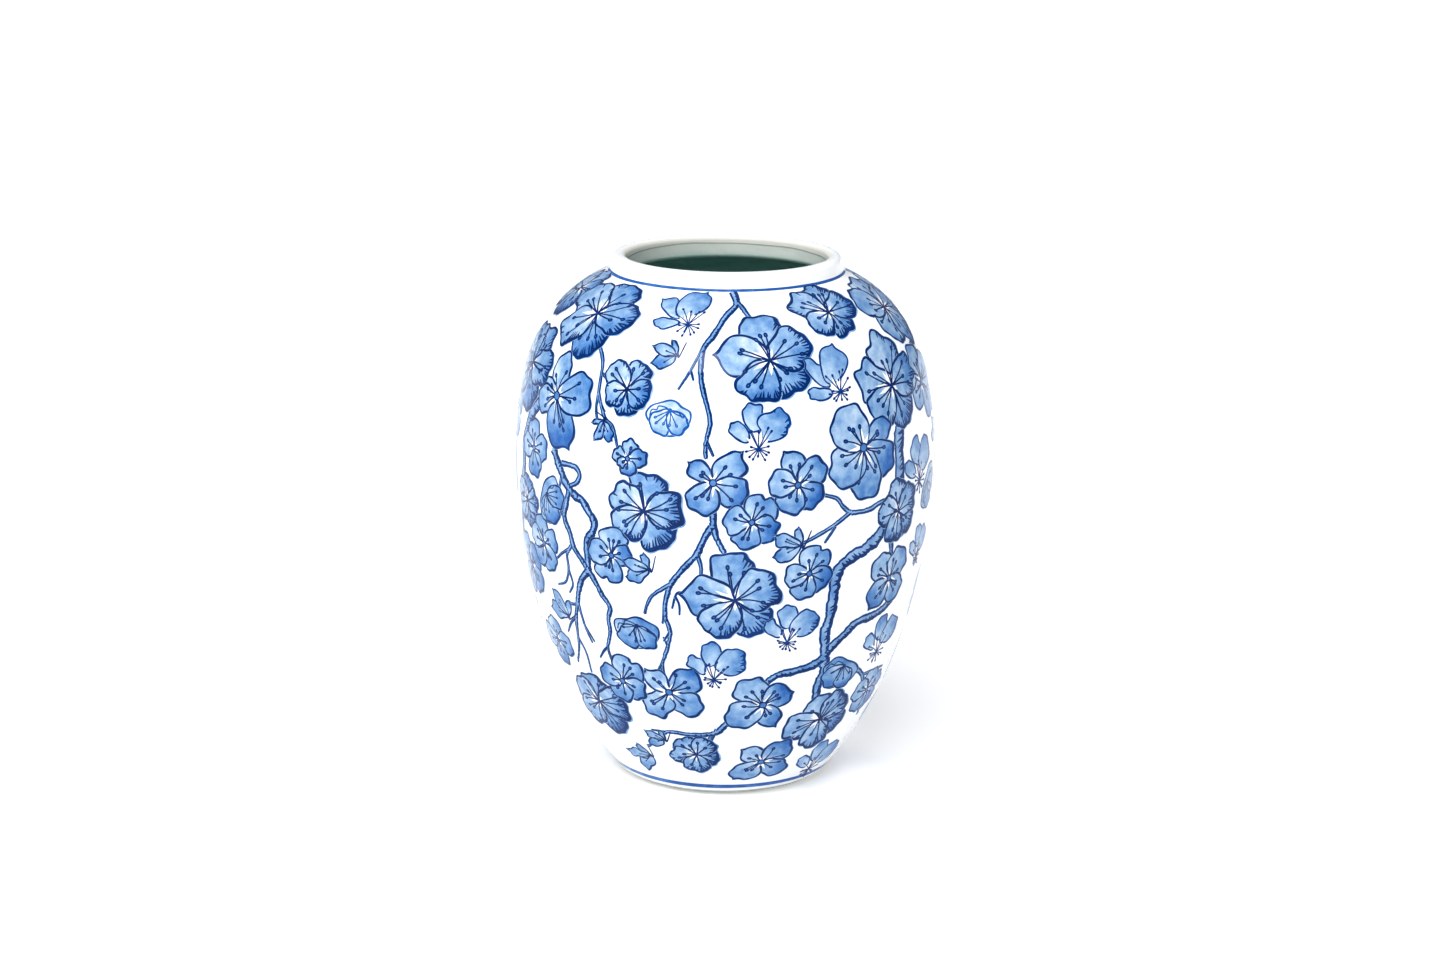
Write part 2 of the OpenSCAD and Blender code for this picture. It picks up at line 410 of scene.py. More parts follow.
for node, material in {
    "lower_body": PORCELAIN, "upper_body": PORCELAIN, "neck_collar": PORCELAIN,
    "belly_luting": SLIP, "neck_luting": SLIP, "foot_luting": SLIP,
    "foot_ring": SHADED_BISCUIT, "base_glaze": WHITE_GLAZE,
}.items():
    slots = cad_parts[node].data.materials
    slots.clear()
    slots.append(material)


# ------------ glaze, outside and inside

LIP_SHADE_IN, LIP_SHADE_FADE = 0.4, 1.4       # where the painted shade on the lip's inner face begins, inward of its top, and over what width
EDGE_FADE = 0.7                       # height of the dark edge under the lap
DEEP_SHADE_START, DEEP_SHADE_FADE = 3.5, 6.0      # where the painted shade of the deep inside begins below the lap, and over what height


def lap_wobble(azimuths, z, r):
    """The brushed edge of the outside glaze inside the lip rises and falls by a fraction of a millimetre."""
    wave = 0.32 * np.sin(2 * azimuths + 0.7) + 0.16 * np.sin(5 * azimuths + 2.1)
    wave = wave + 0.08 * np.sin(11 * azimuths)
    reach = max(0.0, 1 - abs(z - LAP_Z) / 1.6) if r < MOUTH_R + 1 else 0.0
    return wave * reach


def build_outer_glaze():
    face = list(PROFILE)
    rim = [(MOUTH_R + 0.1, LAP_Z - 0.08), (MOUTH_R + 0.3, LAP_Z - 0.08)]
    under = outside_profile(GLAZE_T)
    piece = revolve("outer_glaze_skin", face + rim + under[::-1], WHITE_GLAZE, lap_wobble)
    place = np.array([v.co for v in piece.data.vertices]) / MM
    # mask of the painted shade on the lip's inner face
    inward = MOUTH_R + LIP_ROUND - LIP_SHADE_IN - np.hypot(place[:, 0], place[:, 1])
    inward = np.clip(inward / LIP_SHADE_FADE, 0, 1)
    float_attribute(piece.data, "lip_shade", inward * (place[:, 2] > CREASE_Z), "POINT")
    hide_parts("outer_glaze")


def inside_profile(depth):
    """Radius and height from the middle of the floor up the inside to the lap."""
    back = WALL_INSIDE - depth
    floor = FLOOR_TOP - back
    heel_z = FLOOR_TOP + FLOOR_ROUND
    heel_reach = FOOT_ARC - WALL_INSIDE - FLOOR_ROUND
    heel = (C_FOOT[0] + math.sqrt(heel_reach ** 2 - (heel_z - C_FOOT[1]) ** 2), heel_z)
    throat_x = MOUTH_R + THROAT_ROUND
    throat_reach = SHOULDER_ARC - WALL_INSIDE + THROAT_ROUND
    throat = (throat_x, C_SHOULDER[1] + math.sqrt(throat_reach ** 2 - (throat_x - C_SHOULDER[0]) ** 2))
    pts = [(0, floor)] + [(r, floor) for r in np.linspace(6, heel[0] - 2, 9)]
    pts += arc(heel, FLOOR_ROUND + back, -90, angle_to(C_FOOT, heel))
    pts += body_arcs(depth, angle_to(C_FOOT, heel), angle_to(C_SHOULDER, throat))[1:]
    pts += arc(throat, THROAT_ROUND - back, angle_to(throat, C_SHOULDER) + 360, 180, TIGHT_STEP)[1:]
    pts += [(MOUTH_R + back, z) for z in np.linspace(throat[1], LAP_Z, 24)[1:]]
    return pts


def build_inner_glaze():
    face = inside_profile(WALL_INSIDE)
    back = inside_profile(WALL_INSIDE - GLAZE_T)
    piece = revolve("inner_glaze_skin", face[::-1] + back, GREY_GREEN, lap_wobble)
    heights = np.array([v.co.z for v in piece.data.vertices]) / MM
    azimuths = np.array([math.atan2(v.co.x, -v.co.y) for v in piece.data.vertices])
    below = LAP_Z + lap_wobble(azimuths, LAP_Z, MOUTH_R) - heights
    float_attribute(piece.data, "edge", np.clip(1.2 - below / EDGE_FADE, 0, 1), "POINT")
    # the depth attribute carries painted shade: the inside turns darker and greener lower down
    float_attribute(piece.data, "depth", np.clip((below - DEEP_SHADE_START) / DEEP_SHADE_FADE, 0, 1), "POINT")
    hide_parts("inner_glaze")


BAND_TONE, BAND_LIFT, BAND_DEPTH = 0.60, 0.03, 0.1


def phase(rng):
    """A random phase for a wave, in radians."""
    return rng.uniform(0, 6.3)


def painted_line(name, node, low, high, seed):
    """A brushed line round the vase, between two distances up the outline, with slightly uneven edges."""
    rng = np.random.default_rng(seed)
    across = 7
    azimuths = np.linspace(0, 2 * math.pi, 2 * SEGMENTS, endpoint=False)

    def waver(size):
        waves = [(k, phase(rng), rng.normal()) for k in (1, 2, 3, 5, 9, 14, 23)]
        return size * sum(w / math.sqrt(k) * np.sin(k * azimuths + p) for k, p, w in waves)

    lower, upper, load = low + waver(0.06), high + waver(0.06), waver(0.045)
    crown = np.sin(np.linspace(0, math.pi, across)) * BAND_LIFT + BAND_LIFT
    verts, tones, rings = [], [], []
    for lifts in (crown, np.full(across, -BAND_DEPTH)):
        for i, lift in enumerate(lifts):
            share = i / (across - 1)
            points, _ = on_vase(azimuths, lower + (upper - lower) * share, lift)
            rings.append(list(range(len(verts), len(verts) + len(points))))
            verts += list(points)
            tones += list(BAND_TONE + 0.12 * abs(2 * share - 1) ** 2 + load)
    piece = finish_mesh(name, verts, tube(rings[:across] + rings[across:][::-1]), COBALT)
    float_attribute(piece.data, "tone", tones, "POINT")
    piece.data.set_sharp_from_angle(angle=math.radians(50))
    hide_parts(node)


# ------------ drawing in the flat

LINE = 0.95                # tone of a full dark line
STROKE = 1.14              # width of an ordinary outline
HALO = 0.32                # tone of the soft bleed round a line
WASH = 0.29                # tone of a plain wash
LOAD = 0.28                # how much a wash may deepen toward a petal's tip
OPEN_SHADE = 0.2           # how much an open blossom's outline thickens all round
TOOTH_GAP = 1.95           # between the teeth of paint on a ruffled margin
BARK_GAP = 2.2             # between the marks on the bark
BLEED, EDGE = 0.40, 0.20   # how far a bough's soft bleed and its outline stand out from it
SHADE = np.array([0.87, -0.50])   # the side on which the painter loaded the outlines


def unit(angle):
    return np.array([math.cos(math.radians(angle)), math.sin(math.radians(angle))])


def left_of(directions):
    """Unit vectors a quarter turn to the left of each row."""
    n = np.column_stack([-directions[:, 1], directions[:, 0]])
    return n / np.maximum(np.linalg.norm(n, axis=1), 1e-9)[:, None]


def closed_normals(loop):
    """Outward normals of a counter-clockwise loop."""
    return -left_of(np.roll(loop, -1, axis=0) - np.roll(loop, 1, axis=0))


def smooth_path(points, per_span):
    """An open Catmull-Rom curve through the points."""
    p = np.asarray(points, dtype=float)
    p = np.vstack([2 * p[0] - p[1], p, 2 * p[-1] - p[-2]])
    out = []
    for a, b, c, d in zip(p, p[1:], p[2:], p[3:]):
        for t in np.linspace(0, 1, per_span, endpoint=False):
            out.append(0.5 * (2 * b + (c - a) * t + (2 * a - 5 * b + 4 * c - d) * t * t
                              + (3 * b - a - 3 * c + d) * t ** 3))
    return np.array(out + [p[-2]])


def ribbon(path, half_widths):
    """The closed outline of a stroke along a path, with a blunt point at its end."""
    n = left_of(np.gradient(path, axis=0))
    w = np.broadcast_to(np.asarray(half_widths, dtype=float), (len(path),))[:, None]
    cap = path[-1] + (path[-1] - path[-2]) / np.linalg.norm(path[-1] - path[-2]) * w[-1] * 0.7
    return np.vstack([path - n * w, [cap], (path + n * w)[::-1]])


def disc(centre, radius, n):
    a = np.linspace(0, 2 * math.pi, n, endpoint=False)
    return np.asarray(centre) + radius * np.column_stack([np.cos(a), np.sin(a)])


class Drawing:
    """Shapes in painting order. A shape's tone is a number, a function of points, or None for bare white."""

    def __init__(self, seed, stroke=STROKE, pale=0.0):
        self.rng = np.random.default_rng(seed)
        self.shapes = []
        self.stroke = stroke
        self.line = LINE - 0.55 * pale
        self.wash = WASH - 0.25 * pale
        self.load = LOAD * (1 - pale)

    def add(self, loop, tone=None):
        self.shapes.append((np.asarray(loop), tone))

    def petal_loop(self, root, angle, length, width, tip):
        """The phase, in radians, of each point of a petal's outline, its place, and how far it belongs to the
        tip."""
        rng = self.rng
        t = np.linspace(-math.pi, math.pi, 34 + int(length * 2.4), endpoint=False)
        sin, cos = np.sin(t), np.cos(t)
        front = cos > 0
        middle = 0.60 * length
        x = length * np.where(front, 0.40 * np.abs(cos) ** 0.92, -0.60 * np.abs(cos) ** 1.1)
        y = width * 0.56 * np.sign(sin) * np.abs(sin) ** np.where(front, 1.0, 1.04)
        tipness = np.clip(0.5 + cos, 0, 1)
        grow = sum(rng.normal() * 0.016 * np.cos(k * t + phase(rng)) for k in (2, 3, 4, 5))
        if tip == "ruffled":
            k, p = rng.integers(3, 6), phase(rng)
            grow += tipness * (0.026 * np.sin(k * t + p) + 0.012 * np.sin(9 * t + 2 * p))
        elif tip == "nib":
            at = rng.uniform(-0.5, 0.5)
            grow += 0.13 * np.exp(-np.abs(t - at) / 0.12) - 0.02
        elif tip == "notch":
            at = rng.uniform(-0.3, 0.3)
            grow -= 0.14 * np.exp(-((t - at) / 0.16) ** 2)
        else:
            grow += 0.022 * tipness * np.sin(6 * t + phase(rng))
        out = np.column_stack([x, y])
        out *= (1 + grow * length / np.maximum(np.linalg.norm(out, axis=1), 1e-6))[:, None]
        loop = root + (out + [middle, 0]) @ np.array([unit(angle), unit(angle + 90)])
        return t, loop, tipness

    def petal(self, root, angle, length, width, tip, shade, pool=0.0, bare=0.0):
        """One petal: soft bleed, outline, wash, and the teeth of paint along a loaded margin. The wash thins
        to white over the bare share of the petal's length at its root."""
        rng = self.rng
        root = np.asarray(root, dtype=float)
        t, loop, tipness = self.petal_loop(root, angle, length, width, tip)
        n = closed_normals(loop)
        facing = np.clip(shade + 0.85 * (n @ SHADE), 0, 1) * tipness
        if tip != "ruffled":
            facing = facing * 0.35
        uneven = 1 + 0.15 * np.sin(3 * t + phase(rng)) + 0.10 * np.sin(8 * t + phase(rng))
        wide = self.stroke * uneven * (1 + 0.85 * facing)
        self.add(loop + n * (0.10 + 0.50 * facing * abs(1 + 0.4 * np.sin(5 * t)))[:, None], HALO)
        self.add(loop, self.line)
        axis, side = unit(angle), unit(angle + 90)
        slope, load = rng.normal() * 0.07, self.load * rng.uniform(0.3, 0.75) + pool

        def wash(p):
            far = np.clip((p - root) @ axis / length, 0, 1)
            across = (p - root) @ side / width
            rim = (p - root) / length @ SHADE
            tone = self.wash + load * far ** 1.6 - 0.05 * (1 - far) + slope * across + 0.10 * rim
            return tone * np.clip((far + 0.10 * across - bare) / 0.16 + 1, 0.0, 1)

        self.add(loop - n * wide[:, None], wash)
        if tip != "ruffled":
            return
        run = np.concatenate([[0], np.cumsum(np.linalg.norm(np.diff(loop, axis=0), axis=1))])
        for at in np.arange(run[0], run[-1], TOOTH_GAP):
            i = int(np.argmin(np.abs(run - at - rng.normal() * 0.25)))
            if facing[i] < 0.12 and rng.random() > 0.12 * (tipness[i] > 0.9):
                continue
            inward = root + axis * 0.25 * length - loop[i]
            inward = inward / np.linalg.norm(inward)
            reach = wide[i] + (1.2 + 3.4 * max(facing[i], 0.35)) * rng.uniform(0.55, 1.15) * length / 22
            bend = np.array([-inward[1], inward[0]]) * rng.normal() * 0.35
            path = loop[i] + inward * np.array([[0.2], [0.6 * reach], [reach]])
            path = path + bend * np.array([[0], [0.3], [1]])
            self.add(ribbon(path, [0.58, 0.44, 0.18]), self.line)

    def stamen(self, root, angle, start, reach, half, dot, bend=None):
        """A curved hair that ends in a club."""
        bend = self.rng.normal() * 0.10 if bend is None else bend
        t = np.linspace(0, 1, 7)[:, None]
        path = np.asarray(root) + unit(angle) * (start + (reach - start) * t)
        path = path + unit(angle + 90) * bend * reach * t ** 2
        self.add(ribbon(path, half), self.line)
        end = path[-1] - path[-2]
        end /= np.linalg.norm(end)
        ring = disc((0, 0), dot, 11)
        club = ring + np.outer(ring @ end, end) * 0.35 + path[-1]
        self.add(club, self.line)
        if dot > 0.6:
            self.add(path[-1] + (club - path[-1]) * 0.34, self.line - 0.28)

    def bare_streak(self, root, angle, start, reach, width):
        """A white sliver left between brush strokes, pointed at its outer end."""
        t = np.array([0, 0.25, 0.5, 0.75, 1.0])
        path = np.asarray(root) + unit(angle) * (start + (reach - start) * t[:, None])
        self.add(ribbon(path, width * np.array([0.40, 0.5, 0.38, 0.22, 0.03])))

    def stamens_over(self, root, petals, reach, each, half, dot):
        """A few stamens over each petal, roughly side by side."""
        rng = self.rng
        for angle, length, width, *_ in petals:
            count = max(1, round(each * width / 14))
            for i in range(count):
                spread = (i - (count - 1) / 2) * 62 / (count + 0.6) * min(width / length, 1.2)
                way = angle + spread + rng.normal() * 3
                end = length * rng.uniform(*reach)
                self.stamen(root, way, 0.6, end, half, dot, rng.normal() * 0.11 + 0.005 * spread)

    def ruffled(self, petals, shade):
        """A full blossom: broad petals with toothed margins that meet at a point."""
        rng = self.rng
        size = np.mean([length for _, length, *_ in petals])
        root = np.zeros(2)
        pooled = rng.integers(len(petals))
        lean = petals[-1][0]
        for i in list(range(0, len(petals), 2)) + list(range(1, len(petals), 2)):
            angle, length, width, *tip = petals[i]
            near = math.cos(math.radians(angle - lean))
            tip = tip[0] if tip else "ruffled"
            self.petal(root, angle, length, width, tip, shade, 0.10 * (i == pooled), 0.13 + 0.13 * near)
        for i in range(11):
            way = lean + (i - 5) * 33 + rng.normal() * 7
            near = 0.5 + 0.5 * math.cos(math.radians(way - lean))
            self.bare_streak(root, way, 0.2, size * (0.17 + 0.27 * near) * rng.uniform(0.8, 1.2), size * 0.11)
        self.stamens_over(root, petals, (0.44, 0.76), 2.2, 0.37, 0.74 + size * 0.013)
        self.add(disc(root, 0.75, 9), self.line)

    def open(self, petals, heart):
        """A blossom of separate petals round a small disc, with rows of stamens."""
        rng = self.rng
        root = np.zeros(2)
        pooled = rng.integers(len(petals))
        for i, (angle, length, width, *tip) in enumerate(petals):
            tip = tip[0] if tip else "smooth"
            self.petal(root, angle, length, width, tip, OPEN_SHADE, 0.16 * (i == pooled), 0.15)
        size = np.mean([length for _, length, *_ in petals])
        for angle, length, width, *_ in petals:
            for side in (-1, 1):
                way = angle + side * 27 + rng.normal() * 5
                self.bare_streak(root, way, 0.5, size * rng.uniform(0.24, 0.42), size * 0.10)
        self.stamens_over(root, petals, (0.40, 0.66), 2.6, 0.36, 0.70 + size * 0.014)
        self.add(disc(root, heart + 0.25, 14), self.line)
        self.add(disc(root, heart - 0.35, 12), self.wash + 0.22)

    def side(self, size, turn, tall=False):
        """A flower seen from the side, its stamens hanging out below. The size is its width."""
        rng = self.rng
        u = size / 26
        spin = np.array([unit(turn), unit(turn + 90)])
        if tall:
            petals = [((0, -5), 125, 16, 8.5, "nib"), ((1, -7), 184, 12.5, 6, "smooth"),
                      ((0, -4), 66, 19, 14, "nib")]
            foot = np.array([5.0, -7.5])
        else:
            petals = [((-4.5, -5), 134, 12, 6.5, "smooth"), ((-2, -1), 95, 13.5, 9, "smooth"),
                      ((0, -3), 38, 16, 12.5, "ruffled")]
            foot = np.array([-0.5, -8.0])
        for root, angle, length, width, tip in petals:
            self.petal(np.array(root) * u @ spin, angle + turn, length * u, width * u, tip, -0.4, 0.12)
        foot = foot * u @ spin
        for i in range(6):
            self.bare_streak(foot, turn + 90 + (i - 2.5) * 19, 2.0 * u, rng.uniform(5.5, 8.5) * u, 1.9 * u)
        for i in range(5):
            way = turn + 90 + (i - 2) * 21 + rng.normal() * 4
            self.stamen(foot, way, 0.3, rng.uniform(7, 10) * u, 0.24, 0.6)
        for i in range(9):
            way = turn + 270 + (i - 4) * 25 + rng.normal() * 5
            self.stamen(foot, way, 0.3, rng.uniform(3.2, 6.0) * u, 0.24, 0.55)
        self.add(disc(foot, 0.8, 9), self.line)

    def droop(self, size, turn):
        """A flower that hangs its head: a round cap, two skirts, and stamens fanned over them."""
        rng = self.rng
        u = size / 21
        spin = np.array([unit(turn), unit(turn + 90)])
        root = np.array([0.3, 3.2]) * u @ spin
        self.petal(np.array([-0.3, -9.0]) * u @ spin, 90 + turn, 16.5 * u, 21 * u, "smooth", 0.0)
        for angle, length, width in ((236, 13.5, 11.5), (302, 13, 10)):
            self.petal(root, angle + turn, length * u, width * u, "smooth", 0.0, 0.1)
        for rim in ([(-10, 0), (-9, 3.0), (-6.5, 3.2), (-5.5, 5), (-2, 4.6), (0.3, 3.2)],
                    [(0.3, 3.2), (4, 3.0), (6, 1.0), (8, 0.6), (9.5, -1)]):
            self.add(ribbon(smooth_path(np.array(rim) * u @ spin, 5), 0.3), self.line)
        for i in range(6):
            way = turn + 204 + i * 25 + rng.normal() * 4
            self.stamen(root, way, 0.3, rng.uniform(6, 9.5) * u, 0.27, 0.65)
        self.add(disc(root, 1.1, 9), self.line)

    def bud(self, size, turn):
        """A half-open bud with pointed petals, and the stalk behind it."""
        rng = self.rng
        root = unit(turn) * -0.36 * size
        stalk = smooth_path([root + unit(turn + 100) * 0.10 * size, root - unit(turn - 10) * 0.10 * size,
                             root - unit(turn + 55) * 0.50 * size], 5)
        self.add(ribbon(stalk, np.linspace(0.45, 0.24, len(stalk))), self.line)
        for spread, length, width in ((-72, 0.55, 0.26), (24, 0.84, 0.50), (-22, 0.86, 0.42)):
            self.petal(root, turn + spread + rng.normal() * 3, length * size, width * size, "nib", -0.2, 0.1)
        for i in range(4):
            self.stamen(root, turn + (i - 1.5) * 15, 0.3, size * rng.uniform(0.34, 0.52), 0.22, 0.45)
        self.add(disc(root, 0.07 * size, 9), self.line)

    def boughs(self, strokes):
        """Branches: every dark edge first, then every wash, so that forks run together, then the bark."""
        rng = self.rng
        cores = []
        for points, start_w, end_w in strokes:
            path = smooth_path(points, 9)
            run = np.linspace(0, 1, len(path))
            knots = 1 + 0.09 * np.sin(run * len(path) * 0.5 + phase(rng))
            knots = knots + 0.04 * rng.normal(size=len(path))
            half = (start_w + (end_w - start_w) * run) / 2 * knots
            path = path + rng.normal(size=path.shape) * 0.025 * start_w
            self.add(ribbon(path, half + BLEED), HALO)
            self.add(ribbon(path, half + EDGE), self.line - 0.03)
            cores.append((path, half))
        for path, half in cores:
            if half.max() > 0.5:
                edge = np.clip(half * 0.62, 0.48, 1.28)
                n = left_of(np.gradient(path, axis=0))
                lit = path - n * (np.clip(n @ SHADE * 1.5, -1, 1) * edge * 0.30)[:, None]
                self.add(ribbon(lit, np.maximum(half - edge, 0.05)), self.wash + 0.08)
        for path, half in cores:
            if half.max() < 1.4:
                continue
            d = np.gradient(path, axis=0)
            d /= np.linalg.norm(d, axis=1)[:, None]
            n = left_of(d)
            n = n * np.sign(n @ SHADE + 0.05)[:, None]
            run = np.concatenate([[0], np.cumsum(np.linalg.norm(np.diff(path, axis=0), axis=1))])
            for at in np.arange(1.0, run[-1] - 0.5, BARK_GAP):
                i = int(np.argmin(np.abs(run - at - rng.normal() * 0.2)))
                foot = path[i] + n[i] * half[i]
                slant = d[i] * rng.uniform(0.2, 0.9) - n[i]
                reach = half[i] * rng.uniform(0.8, 1.3)
                self.add([foot + d[i] * 1.25, foot - d[i] * 1.05, foot + slant * reach - d[i] * 0.25,
                          foot + slant * reach + d[i] * 0.2], self.line)


# ------------ laying the drawings on the vase

GRID = 2.2                 # largest triangle in the painting, so that it hugs the curve
SINK = 0.06                # depth of the painting's hidden underside


def winding(points, loop):
    """Whether each point lies inside a closed loop, by its winding number."""
    x, y = points[:, :1], points[:, 1:]
    ax, ay = loop.T
    bx, by = np.roll(loop, -1, axis=0).T
    side = (bx - ax) * (y - ay) - (x - ax) * (by - ay)
    up = (ay <= y) & (by > y) & (side > 0)
    down = (ay > y) & (by <= y) & (side < 0)
    return up.sum(axis=1) != down.sum(axis=1)


def triangulate(shapes):
    """One set of triangles for all the shapes, with the tone of the top shape at each corner."""
    points, edges = [], []
    for loop, _ in shapes:
        first = len(points)
        points += [tuple(p) for p in loop]
        edges += [(first + i, first + (i + 1) % len(loop)) for i in range(len(loop))]
    all_points = np.array(points)
    low, high = all_points.min(axis=0), all_points.max(axis=0)
    for x in np.arange(low[0], high[0], GRID):
        points += [(x + 0.01, y) for y in np.arange(low[1], high[1], GRID)]
    verts, _, faces, *_ = delaunay_2d_cdt([Vector(p) for p in points], edges, [], 0, 1e-4)
    verts = np.array([tuple(v) for v in verts])
    faces = np.array([f for f in faces if len(f) == 3])
    centres = verts[faces].mean(axis=1)
    top = np.full(len(faces), -1)
    for i, (loop, _) in enumerate(shapes):
        boxed = (centres > loop.min(axis=0)) & (centres < loop.max(axis=0))
        near = np.nonzero(boxed.all(axis=1))[0]
        if len(near):
            top[near[winding(centres[near], loop)]] = i
    tones = np.zeros(faces.shape)
    for i, (_, tone) in enumerate(shapes):
        mine = top == i
        if tone is None:
            top[mine] = -1
        elif callable(tone):
            tones[mine] = tone(verts[faces[mine]].reshape(-1, 2)).reshape(-1, 3)
        else:
            tones[mine] = tone
    keep = top >= 0
    used, flat = np.unique(faces[keep], return_inverse=True)
    return verts[used], flat.reshape(-1, 3), tones[keep]


def paint(name, drawing, azimuth, height, lift):
    """Makes a piece from a drawing whose origin lies at an azimuth and height on the vase."""
    flat, tris, tones = triangulate(drawing.shapes)
    distance = np.clip(along(height) + flat[:, 1], 0.2, CREASE_AT)
    radius = np.interp(distance, ALONG, PROFILE[:, 0])
    angle = math.radians(azimuth) + flat[:, 0] / radius
    face, normals = on_vase(angle, distance, lift)
    back, _ = on_vase(angle, distance, -SINK)
    count = len(flat)
    heads, tails = tris.ravel(), np.roll(tris, -1, axis=1).ravel()
    outer = ~np.isin(heads * count + tails, tails * count + heads)
    a, b = heads[outer], tails[outer]
    tone_a, tone_b = tones.ravel()[outer], np.roll(tones, -1, axis=1).ravel()[outer]
    walls = np.column_stack([b, a, a + count, b + count])
    faces = list(tris) + list(tris[:, ::-1] + count) + list(walls)
    piece = finish_mesh(name, np.vstack([face, back]), faces, COBALT)
    mesh = piece.data
    wall_tones = np.column_stack([tone_b, tone_a, tone_a, tone_b])
    corner_tones = np.concatenate([tones.ravel(), tones[:, ::-1].ravel(), wall_tones.ravel()])
    float_attribute(mesh, "tone", corner_tones, "CORNER")
    corners = np.vstack([face, back])
    across = np.cross(corners[a] - corners[b], corners[a + count] - corners[b])
    across /= np.maximum(np.linalg.norm(across, axis=1), 1e-12)[:, None]
    mesh.normals_split_custom_set(np.vstack([
        normals[tris.ravel()], -normals[tris[:, ::-1].ravel()], np.repeat(across, 4, axis=0)]))


# Each flower: its kind, azimuth and height, and its petals as (angle, length, width, tip). The tip is ruffled
# on a ruffled flower and smooth on an open one unless it is given. The other kinds have a size and a turn, and
# a few of them the word for a variant.
NIB, NOTCH = "nib", "notch"


def of_kind(kind, rows):
    return [(kind, *row) for row in rows]


